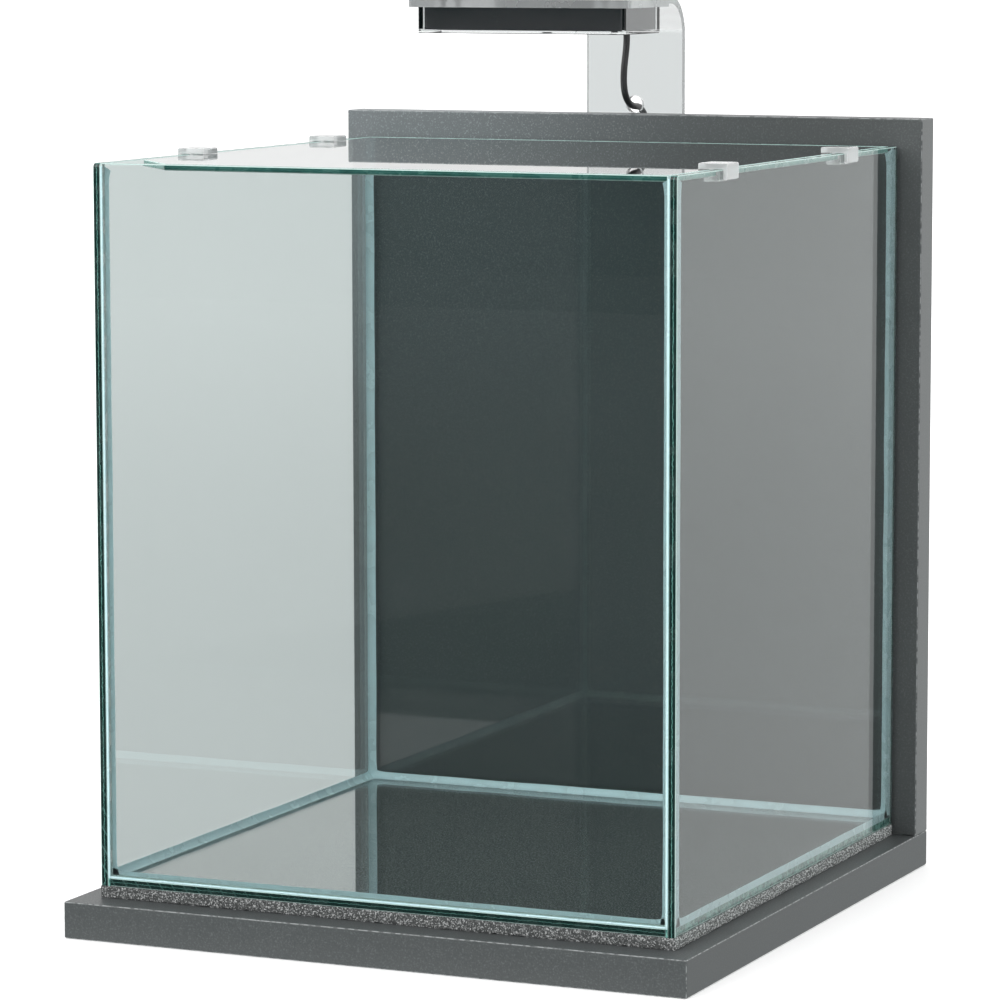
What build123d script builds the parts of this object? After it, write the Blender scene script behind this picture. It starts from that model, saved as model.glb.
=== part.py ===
"""A small rimless glass aquarium on an L-shaped stand, with a loose glass lid and an LED lamp.

All lengths are millimetres. +Z is up, +X is to the right of someone looking at the front, and +Y is
to the back. The origin is the centre of the base board's underside.
"""
import os
from math import pi, radians, tan

from build123d import *

os.makedirs("parts", exist_ok=True)

# ---- driving dimensions: stand ----
board_thick = 18.0
base_width = 324.0
base_depth = 337.0
back_height = 370.0
board_edge_round = 0.8
mat_thick = 6.0
mat_edge_round = 0.6

# ---- driving dimensions: tank ----
tank_width = 300.0
tank_depth = 300.0
tank_height = 350.0
glass = 4.0
bond = 0.8                  # thickness of the silicone between two panes
seam_leg = 3.4              # how far the silicone reaches along each pane in a corner
tank_to_back_board = 3.0
pane_edge = 0.4             # ground edges of the panes
pane_corner = 2.0           # rounded upper corners of the side panes
seam_below_rim = 1.5

# ---- driving dimensions: lid and its clips ----
lid_thick = 3.0
lid_gap = 2.2               # between the lid's side and the tank's wall
lid_front_gap = 1.5
lid_back_gap = 1.5
lid_cut_x = 30.3            # the corner cut away for feeding
lid_cut_y = 34.0
clip_length = 15.0
clip_plate = 3.0
clip_shelf = 2.6
clip_reach = 8.0            # the plate and the shelf reach this far in from the wall
clip_clear = 0.3            # to each face of the wall
clip_play = 0.05            # to each face of the lid and to the rim
clip_outer_leg = 2.2
clip_outer_drop = 4.8
clip_round = 0.9
clip_edge = 0.25
clip_left_y = {"front": -54.0, "back": 92.0}
clip_right_y = {"front": -90.0, "back": 74.0}

# ---- driving dimensions: lamp and its arm ----
arm_x = -3.5
arm_width = 54.0
arm_thick = 4.0
arm_outer_bend = 20.0
arm_top = 449.5
arm_foot = 268.0
lamp_width = 112.6
lamp_depth = 45.0
lamp_height = 13.0
lamp_front = 20.5
head_overhang = 4.0
cover_wall = 2.4
cover_floor = 1.6
cement = 0.05               # the cement line between the cover and the head
body_clear = 0.3            # between the black block and the cover
cable_below_arm = 6.0       # from the arm's underside to the middle of the cable's exit
led_columns = 9
led_rows = 3

# ---- driving dimensions: cable and adapter ----
cable_d = 3.5
cable_hole_r = 4.5
floor_clear = 0.1
bend_share = 0.45           # of the shorter run, taken by the arc at each of its ends
coil_radii = (17.5, 21.0)   # middles of the inner and the outer turns
coil_layers = 4
coil_enter = -102.0         # degrees round the ring, from +X, where the cable meets it
coil_leave = 90.0           # where it leaves again, after six more whole turns
coil_whole_turns = 6
coil_round = 1.6
coil_x = 31.5
coil_y = 196.0
coil_lift = 1.1             # the tie under the coil keeps it this far off the floor
tie_thick = 0.8
tie_width = 9.0
tie_round = 0.7
adapter_length = 62.0
adapter_width = 38.0
adapter_height = 26.0
adapter_wall = 2.0
adapter_round = 4.0
adapter_face_round = 2.0
adapter_lead_face_x = -40.0
adapter_front_depth = 16.0
adapter_y = 194.0
relief_length = 22.0
relief_root_r = 3.4
relief_neck_r = 2.5
relief_tip_r = 2.3
pin_r = 2.0
pin_length = 19.0
pin_root = 12.0             # how far the pins reach into the case
pin_round = 1.6
pin_pitch = 19.0

# ---- places worked out from them ----
base_back = base_depth / 2
board_front = base_back - board_thick
board_mid_y = base_back - board_thick / 2
board_top = board_thick + back_height
tank_back = board_front - tank_to_back_board
tank_front = tank_back - tank_depth
tank_mid_y = (tank_front + tank_back) / 2
tank_bottom = board_thick + mat_thick
tank_top = tank_bottom + tank_height
tank_side = tank_width / 2
inner_side = tank_side - glass
inner_front = tank_front + glass
inner_back = tank_back - glass
inner_floor = tank_bottom + glass
pane_side = inner_side - bond
arm_under = arm_top - arm_thick
arm_back = base_back + arm_thick
lamp_mid_y = lamp_front + lamp_depth / 2
lamp_back = lamp_front + lamp_depth
lamp_bottom = arm_under - lamp_height
cable_r = cable_d / 2
on_floor = (Align.CENTER, Align.CENTER, Align.MIN)


def save(piece, name):
    """Names a finished piece and writes its file."""
    piece.label = name
    export_step(piece, f"parts/{name}.step")


def facing_down(points):
    """Places at which a hole is drilled upwards."""
    return [Plane(origin=point, z_dir=(0, 0, -1)) for point in points]


def facing_back(points):
    """Places at which a hole is drilled towards the front."""
    return [Plane(origin=point, z_dir=(0, 1, 0)) for point in points]


# ---- stand: two boards, the screws and dowels between them, and the mat ----
screw_xs = (-130.0, 0.0, 130.0)
dowel_xs = (-65.0, 65.0)
screw_head_r = 5.0
screw_head_h = 3.0
screw_neck_r = 3.5
screw_thread_r = 2.5
screw_length = 50.0
screw_sunk = 0.3
socket_r = 2.0
socket_depth = 2.5
screw_neck_h = board_thick - screw_sunk - screw_head_h
screw_in_back = screw_length + screw_sunk - board_thick
dowel_r = 4.0
dowel_length = 30.0
dowel_in_base = 12.0
dowel_chamfer = 0.8
arm_screw_offset = 18.0
arm_screw_heights = (292.0, 352.0)
arm_screw_r = 2.0
arm_screw_bite = 11.2       # how deep the arm's screws go into the back board
arm_screw_spots = [(arm_x + side * arm_screw_offset, z) for side in (-1, 1) for z in arm_screw_heights]

with BuildPart() as base_board:
    with BuildSketch():
        Rectangle(base_width, base_depth)
    extrude(amount=board_thick)
    fillet(base_board.edges(), board_edge_round)
    with Locations(*facing_down([(x, board_mid_y, 0) for x in screw_xs])):
        Hole(radius=screw_neck_r, depth=board_thick)
        Hole(radius=screw_head_r, depth=screw_sunk)
    with Locations(*[(x, board_mid_y, screw_sunk) for x in screw_xs]):
        Cone(screw_head_r, screw_neck_r, screw_head_h, align=on_floor, mode=Mode.SUBTRACT)
    with Locations(*[(x, board_mid_y, board_thick) for x in dowel_xs]):
        Hole(radius=dowel_r, depth=dowel_in_base)
save(base_board.part, "base_board")

with BuildPart() as back_board:
    with BuildSketch(Plane.XY.offset(board_thick)):
        with Locations((0, board_mid_y)):
            Rectangle(base_width, board_thick)
    extrude(amount=back_height)
    fillet(back_board.edges(), board_edge_round)
    with Locations(*facing_down([(x, board_mid_y, board_thick) for x in screw_xs])):
        Hole(radius=screw_thread_r, depth=screw_in_back)
    with Locations(*facing_down([(x, board_mid_y, board_thick) for x in dowel_xs])):
        Hole(radius=dowel_r, depth=dowel_length - dowel_in_base)
    with Locations(*facing_back([(x, base_back, z) for x, z in arm_screw_spots])):
        Hole(radius=arm_screw_r, depth=arm_screw_bite)
save(back_board.part, "back_board")

with BuildPart() as joining_screws:
    with Locations(*[(x, board_mid_y, screw_sunk) for x in screw_xs]):
        Cone(screw_head_r, screw_neck_r, screw_head_h, align=on_floor)
    with Locations(*[(x, board_mid_y, screw_sunk + screw_head_h) for x in screw_xs]):
        Cylinder(screw_neck_r, screw_neck_h, align=on_floor)
    with Locations(*[(x, board_mid_y, board_thick) for x in screw_xs]):
        Cylinder(screw_thread_r, screw_in_back, align=on_floor)
    with BuildSketch(Plane.XY.offset(screw_sunk)):
        with Locations(*[(x, board_mid_y) for x in screw_xs]):
            RegularPolygon(socket_r, 6)
    extrude(amount=socket_depth, mode=Mode.SUBTRACT)
save(joining_screws.part, "joining_screws")

with BuildPart() as joining_dowels:
    with Locations(*[(x, board_mid_y, board_thick - dowel_in_base) for x in dowel_xs]):
        Cylinder(dowel_r, dowel_length, align=on_floor)
    ends = joining_dowels.edges().filter_by(GeomType.CIRCLE)
    chamfer(ends, dowel_chamfer)
save(joining_dowels.part, "joining_dowels")

with BuildPart() as foam_mat:
    with BuildSketch(Plane.XY.offset(board_thick)):
        with Locations((0, tank_mid_y)):
            Rectangle(tank_width, tank_depth)
    extrude(amount=mat_thick)
    fillet(foam_mat.edges().filter_by(Axis.Z), mat_edge_round)
save(foam_mat.part, "foam_mat")


# ---- tank: five panes ----
def flat_pane(name, low, high):
    """A pane between two opposite corners, its edges ground."""
    with BuildPart() as pane:
        with BuildSketch(Plane.XY.offset(low[2])):
            with Locations(((low[0] + high[0]) / 2, (low[1] + high[1]) / 2)):
                Rectangle(high[0] - low[0], high[1] - low[1])
        extrude(amount=high[2] - low[2])
        chamfer(pane.edges(), pane_edge)
    save(pane.part, name)


def side_pane(name, side):
    """A side pane over the tank's whole depth, with its two upper corners rounded."""
    with BuildPart() as pane:
        with BuildSketch(Plane.YZ.offset(side * (tank_side - glass / 2))) as outline:
            with Locations((tank_mid_y, (tank_bottom + tank_top) / 2)):
                Rectangle(tank_depth, tank_height)
            fillet(outline.vertices().group_by(Axis.Y)[-1], pane_corner)
        extrude(amount=glass / 2, both=True)
        chamfer(pane.edges().group_by(Axis.X)[0] + pane.edges().group_by(Axis.X)[-1], pane_edge)
    save(pane.part, name)


upright_low = inner_floor + bond
flat_pane("bottom_glass", (-pane_side, tank_front, tank_bottom), (pane_side, tank_back, inner_floor))
flat_pane("front_glass", (-pane_side, tank_front, upright_low), (pane_side, inner_front, tank_top))
flat_pane("back_glass", (-pane_side, inner_back, upright_low), (pane_side, tank_back, tank_top))
side_pane("left_glass", -1)
side_pane("right_glass", 1)


# ---- tank: silicone, a film between two panes and a hollow-faced fillet in the inner corner ----
seam_top = tank_top - seam_below_rim
fillet_sag = seam_leg * (1 - 0.5 ** 0.5)


def upright_seam(name, side, outer_y, inner_y):
    """The seam between a side pane and the front or back pane."""
    inward = 1 if inner_y > outer_y else -1
    end_on_pane = (side * (inner_side - seam_leg), inner_y)
    end_on_side = (side * inner_side, inner_y + inward * seam_leg)
    middle = (side * (inner_side - fillet_sag), inner_y + inward * fillet_sag)
    with BuildPart() as seam:
        with BuildSketch(Plane.XY.offset(inner_floor)):
            with BuildLine():
                ThreePointArc(end_on_side, middle, end_on_pane)
                Polyline(end_on_pane, (side * pane_side, inner_y), (side * pane_side, outer_y),
                         (side * inner_side, outer_y), end_on_side)
            make_face()
        extrude(amount=seam_top - inner_floor)
    save(seam.part, name)


def cross_seam(name, outer_y, inner_y):
    """The seam under the front or back pane, with its fillet on the bottom pane."""
    inward = 1 if inner_y > outer_y else -1
    fillet_half = inner_side - seam_leg
    end_on_pane = (inner_y, inner_floor + seam_leg)
    end_on_floor = (inner_y + inward * seam_leg, inner_floor)
    middle = (inner_y + inward * fillet_sag, inner_floor + fillet_sag)
    with BuildPart() as seam:
        with BuildSketch(Plane.YZ):
            with Locations(((outer_y + inner_y) / 2, inner_floor + bond / 2)):
                Rectangle(glass, bond)
        extrude(amount=pane_side, both=True)
        with BuildSketch(Plane.YZ):
            with BuildLine():
                ThreePointArc(end_on_pane, middle, end_on_floor)
                Polyline(end_on_floor, (inner_y, inner_floor), end_on_pane)
            make_face()
        extrude(amount=fillet_half, both=True)
    save(seam.part, name)


def side_seam(name, side):
    """The seam between the bottom pane's end and a side pane."""
    fillet_half = (inner_back - inner_front) / 2 - seam_leg
    end_on_side = (side * inner_side, inner_floor + seam_leg)
    end_on_floor = (side * (inner_side - seam_leg), inner_floor)
    middle = (side * (inner_side - fillet_sag), inner_floor + fillet_sag)
    with BuildPart() as seam:
        with BuildSketch(Plane.XZ.offset(-tank_mid_y)):
            with Locations((side * (inner_side + pane_side) / 2, (tank_bottom + inner_floor) / 2)):
                Rectangle(bond, glass)
        extrude(amount=tank_depth / 2, both=True)
        with BuildSketch(Plane.XZ.offset(-tank_mid_y)):
            with BuildLine():
                ThreePointArc(end_on_side, middle, end_on_floor)
                Polyline(end_on_floor, (side * inner_side, inner_floor), end_on_side)
            make_face()
        extrude(amount=fillet_half, both=True)
    save(seam.part, name)


for side_name, side in (("left", -1), ("right", 1)):
    upright_seam(f"seam_front_{side_name}", side, tank_front, inner_front)
    upright_seam(f"seam_back_{side_name}", side, tank_back, inner_back)
    side_seam(f"seam_bottom_{side_name}", side)
cross_seam("seam_bottom_front", tank_front, inner_front)
cross_seam("seam_bottom_back", tank_back, inner_back)

# ---- lid: a pane with one corner cut away, held in four clips that hang on the tank's rim ----
lid_side = inner_side - lid_gap
lid_front = inner_front + lid_front_gap
lid_back = inner_back - lid_back_gap
lid_top = tank_top - clip_play

with BuildPart() as lid_glass:
    with BuildSketch(Plane.XY.offset(lid_top - lid_thick)):
        with BuildLine():
            Polyline((-lid_side, lid_back), (-lid_side, lid_front + lid_cut_y),
                     (-lid_side + lid_cut_x, lid_front), (lid_side, lid_front), (lid_side, lid_back),
                     close=True)
        make_face()
    extrude(amount=lid_thick)
    chamfer(lid_glass.edges(), pane_edge)
save(lid_glass.part, "lid_glass")


def lid_clip(name, side, middle_y):
    """A clip: plate over rim and lid, a leg each side of the wall, and a shelf under the lid."""
    plate_low = tank_top + clip_play
    plate_high = plate_low + clip_plate
    shelf_high = lid_top - lid_thick - clip_play
    shelf_low = shelf_high - clip_shelf
    reach_x = side * (inner_side - clip_reach)
    slot_x = side * (lid_side + 2 * clip_play)
    inner_leg_x = side * (inner_side - clip_clear)
    outer_leg_x = side * (tank_side + clip_clear)
    outer_x = outer_leg_x + side * clip_outer_leg
    drop_z = tank_top - clip_outer_drop
    with BuildPart() as clip:
        with BuildSketch(Plane.XZ.offset(-middle_y)) as outline:
            with BuildLine():
                Polyline((reach_x, plate_low), (slot_x, plate_low), (slot_x, shelf_high),
                         (reach_x, shelf_high), (reach_x, shelf_low), (inner_leg_x, shelf_low),
                         (inner_leg_x, plate_low), (outer_leg_x, plate_low), (outer_leg_x, drop_z),
                         (outer_x, drop_z), (outer_x, plate_high), (reach_x, plate_high), close=True)
            make_face()
            by_height = outline.vertices().group_by(Axis.Y)
            fillet(by_height[0] + by_height[1] + by_height[-1], clip_round)
        extrude(amount=clip_length / 2, both=True)
        ends = clip.faces().filter_by(Axis.Y).edges()
        chamfer(ends, clip_edge)
    save(clip.part, name)


for place in ("front", "back"):
    lid_clip(f"clip_left_{place}", -1, clip_left_y[place])
    lid_clip(f"clip_right_{place}", 1, clip_right_y[place])

# ---- lamp arm: one sheet, bent once behind the tank, with a wider head over the lamp ----
cable_hole_z = board_top + cable_hole_r
head_width = lamp_width + 2 * head_overhang
head_depth = lamp_depth + 2 * head_overhang
head_round = 2.5
arm_foot_round = 3.0
lamp_screw_reach = (44.0, 14.0)     # from the middle of the head
lamp_screw_spots = [(arm_x + side * lamp_screw_reach[0], lamp_mid_y + way * lamp_screw_reach[1])
                    for side in (-1, 1) for way in (-1, 1)]
lamp_screw_r = 1.5
lamp_screw_head_r = 2.9
lamp_screw_head_h = 1.5
lamp_screw_length = 9.0
lamp_screw_play = 0.1
lamp_cross = (3.0, 0.6)     # length and width of the cross recess
lamp_cross_depth = 1.0
washer_r = 4.5
washer_thick = 0.8
arm_screw_hole_r = 2.2
arm_screw_head_r = 3.8
arm_screw_head_h = 2.6
arm_screw_head_round = 1.2
arm_cross = (4.2, 0.9)
arm_cross_depth = 1.4

with BuildPart() as lamp_arm:
    with BuildSketch(Plane.YZ.offset(arm_x)) as side_view:
        with BuildLine():
            Polyline((lamp_back, arm_top), (arm_back, arm_top), (arm_back, arm_foot),
                     (base_back, arm_foot), (base_back, arm_under), (lamp_back, arm_under), close=True)
        make_face()
        fillet(side_view.vertices().sort_by_distance((arm_back, arm_top))[0], arm_outer_bend)
        fillet(side_view.vertices().sort_by_distance((base_back, arm_under))[0],
               arm_outer_bend - arm_thick)
    extrude(amount=arm_width / 2, both=True)
    fillet(lamp_arm.edges().filter_by(Axis.Y).group_by(Axis.Z)[0], arm_foot_round)
    with BuildSketch(Plane.XY.offset(arm_under)):
        with Locations((arm_x, lamp_mid_y)):
            RectangleRounded(head_width, head_depth, head_round)
    extrude(amount=arm_thick)
    with Locations(*facing_back([(arm_x, arm_back, cable_hole_z)])):
        Hole(radius=cable_hole_r, depth=arm_thick)
    with Locations(*facing_back([(x, arm_back, z) for x, z in arm_screw_spots])):
        Hole(radius=arm_screw_hole_r, depth=arm_thick)
    with Locations(*[(x, y, arm_top) for x, y in lamp_screw_spots]):
        CounterSinkHole(radius=lamp_screw_r + lamp_screw_play,
                        counter_sink_radius=lamp_screw_head_r + lamp_screw_play, depth=arm_thick)
save(lamp_arm.part, "lamp_arm")

with BuildPart() as arm_washers:
    with BuildSketch(Plane.XZ.offset(-arm_back)):
        with Locations(*arm_screw_spots):
            Circle(washer_r)
            Circle(arm_screw_hole_r, mode=Mode.SUBTRACT)
    extrude(amount=-washer_thick)
save(arm_washers.part, "arm_washers")

head_seat = arm_back + washer_thick
with BuildPart() as arm_screws:
    with BuildSketch(Plane.XZ.offset(-head_seat)):
        with Locations(*arm_screw_spots):
            Circle(arm_screw_head_r)
    extrude(amount=-arm_screw_head_h)
    fillet(arm_screws.faces().sort_by(Axis.Y)[-4:].edges(), arm_screw_head_round)
    with BuildSketch(Plane.XZ.offset(-head_seat)):
        with Locations(*arm_screw_spots):
            Circle(arm_screw_r)
    extrude(amount=head_seat - base_back + arm_screw_bite)
    with BuildSketch(Plane.XZ.offset(-head_seat - arm_screw_head_h)):
        with Locations(*arm_screw_spots):
            Rectangle(arm_cross[0], arm_cross[1])
            Rectangle(arm_cross[1], arm_cross[0])
    extrude(amount=arm_cross_depth, mode=Mode.SUBTRACT)
save(arm_screws.part, "arm_screws")

# ---- lamp: clear cover, black block, board with its light sources ----
cable_exit_z = arm_under - cable_below_arm
pocket_width = 100.0
pocket_depth = 34.0
pocket_height = 3.4
block_gap = 0.2             # above and below the black block
block_low = lamp_bottom + cover_floor + block_gap
block_high = arm_under - block_gap
block_round = 0.8
cover_edge = 0.3
led_board_thick = 1.6
led_board_margin = 1.0
led_board_low = block_low + pocket_height - led_board_thick
led_pitch = (10.4, 10.0)
led_size = (3.5, 2.8, 0.8)
gland_barrel_r = 2.5

with BuildPart() as lamp_cover:
    with BuildSketch(Plane.XY.offset(lamp_bottom)):
        with Locations((arm_x, lamp_mid_y)):
            RectangleRounded(lamp_width, lamp_depth, block_round)
    extrude(amount=lamp_height - cement)
    with BuildSketch(Plane.XY.offset(lamp_bottom + cover_floor)):
        with Locations((arm_x, lamp_mid_y)):
            Rectangle(lamp_width - 2 * cover_wall, lamp_depth - 2 * cover_wall)
    extrude(amount=lamp_height, mode=Mode.SUBTRACT)
    with Locations(*facing_back([(arm_x, lamp_back, cable_exit_z)])):
        Hole(radius=gland_barrel_r, depth=cover_wall)
    chamfer(lamp_cover.edges().group_by(Axis.Z)[0], cover_edge)
save(lamp_cover.part, "lamp_cover")

with BuildPart() as lamp_body:
    with BuildSketch(Plane.XY.offset(block_low)):
        with Locations((arm_x, lamp_mid_y)):
            RectangleRounded(lamp_width - 2 * (cover_wall + body_clear),
                             lamp_depth - 2 * (cover_wall + body_clear), block_round)
    extrude(amount=block_high - block_low)
    with BuildSketch(Plane.XY.offset(block_low)):
        with Locations((arm_x, lamp_mid_y)):
            Rectangle(pocket_width, pocket_depth)
    extrude(amount=pocket_height, mode=Mode.SUBTRACT)
    with Locations(*[(x, y, block_high) for x, y in lamp_screw_spots]):
        Hole(radius=lamp_screw_r, depth=lamp_screw_length - arm_thick)
save(lamp_body.part, "lamp_body")

with BuildPart() as led_board:
    with BuildSketch(Plane.XY.offset(led_board_low)):
        with Locations((arm_x, lamp_mid_y)):
            RectangleRounded(pocket_width - 2 * led_board_margin, pocket_depth - 2 * led_board_margin,
                             led_board_margin)
    extrude(amount=led_board_thick)
save(led_board.part, "led_board")

with BuildPart() as leds:
    with BuildSketch(Plane.XY.offset(led_board_low)):
        with Locations((arm_x, lamp_mid_y)):
            with GridLocations(led_pitch[0], led_pitch[1], led_columns, led_rows):
                Rectangle(led_size[0], led_size[1])
    extrude(amount=-led_size[2])
save(leds.part, "leds")

with BuildPart() as lamp_screws:
    with Locations(*[(x, y, arm_top - lamp_screw_head_h) for x, y in lamp_screw_spots]):
        Cone(lamp_screw_r, lamp_screw_head_r, lamp_screw_head_h, align=on_floor)
    with Locations(*[(x, y, arm_top - lamp_screw_length) for x, y in lamp_screw_spots]):
        Cylinder(lamp_screw_r, lamp_screw_length - lamp_screw_head_h, align=on_floor)
    with BuildSketch(Plane.XY.offset(arm_top)):
        with Locations(*lamp_screw_spots):
            Rectangle(lamp_cross[0], lamp_cross[1])
            Rectangle(lamp_cross[1], lamp_cross[0])
    extrude(amount=-lamp_cross_depth, mode=Mode.SUBTRACT)
save(lamp_screws.part, "lamp_screws")

gland_flange = 2.0
gland_tail = 10.0
gland_flange_r = 3.8
gland_root_r = 3.0
gland_tip_r = 2.3
gland_end_y = lamp_back + gland_flange + gland_tail
with BuildPart() as cable_gland:
    with BuildSketch(Plane.YZ.offset(arm_x)):
        with BuildLine():
            Polyline((lamp_back - cover_wall, cable_exit_z),
                     (lamp_back - cover_wall, cable_exit_z + gland_barrel_r),
                     (lamp_back, cable_exit_z + gland_barrel_r), (lamp_back, cable_exit_z + gland_flange_r),
                     (lamp_back + gland_flange, cable_exit_z + gland_flange_r),
                     (lamp_back + gland_flange, cable_exit_z + gland_root_r),
                     (gland_end_y, cable_exit_z + gland_tip_r), (gland_end_y, cable_exit_z), close=True)
        make_face()
    revolve(axis=Axis((arm_x, 0, cable_exit_z), (0, 1, 0)))
save(cable_gland.part, "cable_gland")

# ---- cable: from the lamp, under the arm, through its hole, down behind the board, into the coil ----
lamp_cable_route = [
    (-3.5, 77.5, 439.5),
    (-3.5, 95.0, 439.5),
    (-3.6, 122.0, 437.6),
    (-3.4, 148.5, 441.0),
    (-3.5, 160.5, 431.0),
    (-3.6, 152.2, 405.0),
    (-3.5, 160.0, 391.8),
    (-3.5, 181.0, 391.0),
    (-3.6, 188.5, 380.0),
    (-4.5, 187.0, 356.0),
    (-3.0, 188.5, 312.0),
    (-5.0, 186.5, 262.0),
    (-2.5, 188.5, 212.0),
    (-4.5, 187.0, 162.0),
    (-3.0, 189.0, 112.0),
    (-5.0, 188.0, 68.0),
    (-5.5, 187.0, 38.0),
    (-4.0, 185.5, 16.0),
    (4.5, 180.5, 2.4),
    (15.5, 175.4, 2.2),
    (27.0, 175.0, 2.85),
]
adapter_lead_route = [
    (31.5, 217.0, 13.35),
    (15.5, 217.1, 12.5),
    (-2.0, 194.0, 13.1),
    (-18.0, 194.0, 13.1),
]


def bend_radii(route):
    """The radius at each inner point of a route: as large as its two runs allow."""
    points = [Vector(*point) for point in route]
    radii = []
    for before, here, after in zip(points, points[1:], points[2:]):
        run_in = here - before
        run_out = after - here
        half_turn = radians(run_in.get_angle(run_out)) / 2
        radii.append(bend_share * min(run_in.length, run_out.length) / tan(half_turn))
    return radii


def cable_stretch(name, route):
    """A round cable along a route of straight runs and tangent arcs, and the route's length."""
    radii = bend_radii(route)
    print(name, "bend radii:", [round(radius, 1) for radius in radii])
    with BuildPart() as stretch:
        with BuildLine() as path:
            FilletPolyline(*route, radius=radii)
        with BuildSketch(Plane(origin=path.wire() @ 0, z_dir=path.wire() % 0)):
            Circle(cable_r)
        sweep()
    section = pi * cable_r ** 2
    length = path.wire().length
    print(name, "length", round(length, 1), "volume over section times length",
          round(stretch.part.volume / (section * length), 4))
    save(stretch.part, name)
    return length


lamp_cable_length = cable_stretch("lamp_cable", lamp_cable_route)
adapter_lead_length = cable_stretch("adapter_lead", adapter_lead_route)
coil_turns = coil_whole_turns + (coil_leave - coil_enter) / 360
coil_length = coil_turns * 2 * pi * sum(coil_radii) / len(coil_radii)
print("cord length", round(lamp_cable_length + adapter_lead_length + coil_length, 1))

coil_in_r = coil_radii[0] - cable_r
coil_out_r = coil_radii[1] + cable_r
coil_height = coil_layers * cable_d
with BuildPart() as cable_coil:
    with BuildSketch(Plane.XY.offset(coil_lift)):
        with Locations((coil_x, coil_y)):
            Circle(coil_out_r)
            Circle(coil_in_r, mode=Mode.SUBTRACT)
    extrude(amount=coil_height)
    fillet(cable_coil.edges(), coil_round)
save(cable_coil.part, "cable_coil")

tie_plane = Plane(origin=(coil_x, coil_y, 0), x_dir=(1, 1, 0), z_dir=(1, -1, 0))
with BuildPart() as coil_tie:
    with BuildSketch(tie_plane):
        with Locations(((coil_in_r + coil_out_r) / 2, coil_lift + coil_height / 2)):
            RectangleRounded(coil_out_r - coil_in_r + 2 * tie_thick, coil_height + 2 * tie_thick,
                             tie_round)
            Rectangle(coil_out_r - coil_in_r, coil_height, mode=Mode.SUBTRACT)
    tie_arc = tie_width / (sum(coil_radii) / 2) * 180 / pi
    revolve(axis=Axis((coil_x, coil_y, 0), (0, 0, 1)), revolution_arc=tie_arc)
save(coil_tie.part, "coil_tie")

# ---- adapter: two shells, two pins, a circuit board and the lead's strain relief ----
adapter_z = floor_clear + adapter_height / 2
adapter_pin_face_x = adapter_lead_face_x - adapter_length
adapter_split_x = adapter_pin_face_x + adapter_front_depth
adapter_middle = (adapter_y, adapter_z)


def adapter_shell(name, length, holes):
    """Half of the adapter's case, open at the split. A negative length runs towards the pins."""
    cavity = length - adapter_wall if length > 0 else length + adapter_wall
    with BuildPart() as shell:
        with BuildSketch(Plane.YZ.offset(adapter_split_x)):
            with Locations(adapter_middle):
                RectangleRounded(adapter_width, adapter_height, adapter_round)
        extrude(amount=length)
        far_face = shell.faces().sort_by(Axis.X)[-1 if length > 0 else 0]
        fillet(far_face.edges(), adapter_face_round)
        with BuildSketch(Plane.YZ.offset(adapter_split_x)):
            with Locations(adapter_middle):
                RectangleRounded(adapter_width - 2 * adapter_wall, adapter_height - 2 * adapter_wall,
                                 adapter_round - adapter_wall)
        extrude(amount=cavity, mode=Mode.SUBTRACT)
        with BuildSketch(Plane.YZ.offset(adapter_split_x)):
            for offset_y, radius in holes:
                with Locations((adapter_y + offset_y, adapter_z)):
                    Circle(radius)
        extrude(amount=length, mode=Mode.SUBTRACT)
    save(shell.part, name)


adapter_shell("adapter_rear_shell", adapter_lead_face_x - adapter_split_x, [(0, relief_neck_r)])
adapter_shell("adapter_front_shell", adapter_pin_face_x - adapter_split_x,
              [(-pin_pitch / 2, pin_r), (pin_pitch / 2, pin_r)])

with BuildPart() as adapter_relief:
    with BuildSketch(Plane.XZ.offset(-adapter_y)):
        with BuildLine():
            Polyline((adapter_lead_face_x - adapter_wall, adapter_z),
                     (adapter_lead_face_x - adapter_wall, adapter_z + relief_neck_r),
                     (adapter_lead_face_x, adapter_z + relief_neck_r),
                     (adapter_lead_face_x, adapter_z + relief_root_r),
                     (adapter_lead_face_x + relief_length, adapter_z + relief_tip_r),
                     (adapter_lead_face_x + relief_length, adapter_z), close=True)
        make_face()
    revolve(axis=Axis((0, adapter_y, adapter_z), (1, 0, 0)))
save(adapter_relief.part, "adapter_relief")

with BuildPart() as adapter_pins:
    with BuildSketch(Plane.YZ.offset(adapter_pin_face_x + pin_root)):
        with Locations(adapter_middle):
            with GridLocations(pin_pitch, 1.0, 2, 1):
                Circle(pin_r)
    extrude(amount=-pin_root - pin_length)
    fillet(adapter_pins.faces().sort_by(Axis.X)[:2].edges(), pin_round)
save(adapter_pins.part, "adapter_pins")

circuit_size = (42.0, 30.0, 1.6)
circuit_below = 8.0         # from the middle of the case down to the circuit board
circuit_play = 1.0          # further from the lead's end than from the split
transformer_size = (18.0, 17.0, 13.0)
transformer_shift = 6.0
capacitor_r = 4.0
capacitor_h = 11.0
capacitor_shift = (-13.0, 7.0)
circuit_x = (adapter_split_x + adapter_lead_face_x) / 2 - circuit_play
circuit_z = adapter_z - circuit_below
circuit_top = circuit_z + circuit_size[2]
capacitor_place = (circuit_x + capacitor_shift[0], adapter_y + capacitor_shift[1], circuit_top)
with BuildPart() as adapter_board:
    with Locations((circuit_x, adapter_y, circuit_z)):
        Box(*circuit_size, align=on_floor)
    with Locations((circuit_x + transformer_shift, adapter_y, circuit_top)):
        Box(*transformer_size, align=on_floor)
    with Locations(capacitor_place):
        Cylinder(capacitor_r, capacitor_h, align=on_floor)
save(adapter_board.part, "adapter_board")
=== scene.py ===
from math import cos, pi, radians, sin

import bmesh
import bpy
from mathutils import Matrix, Vector, noise


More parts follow.
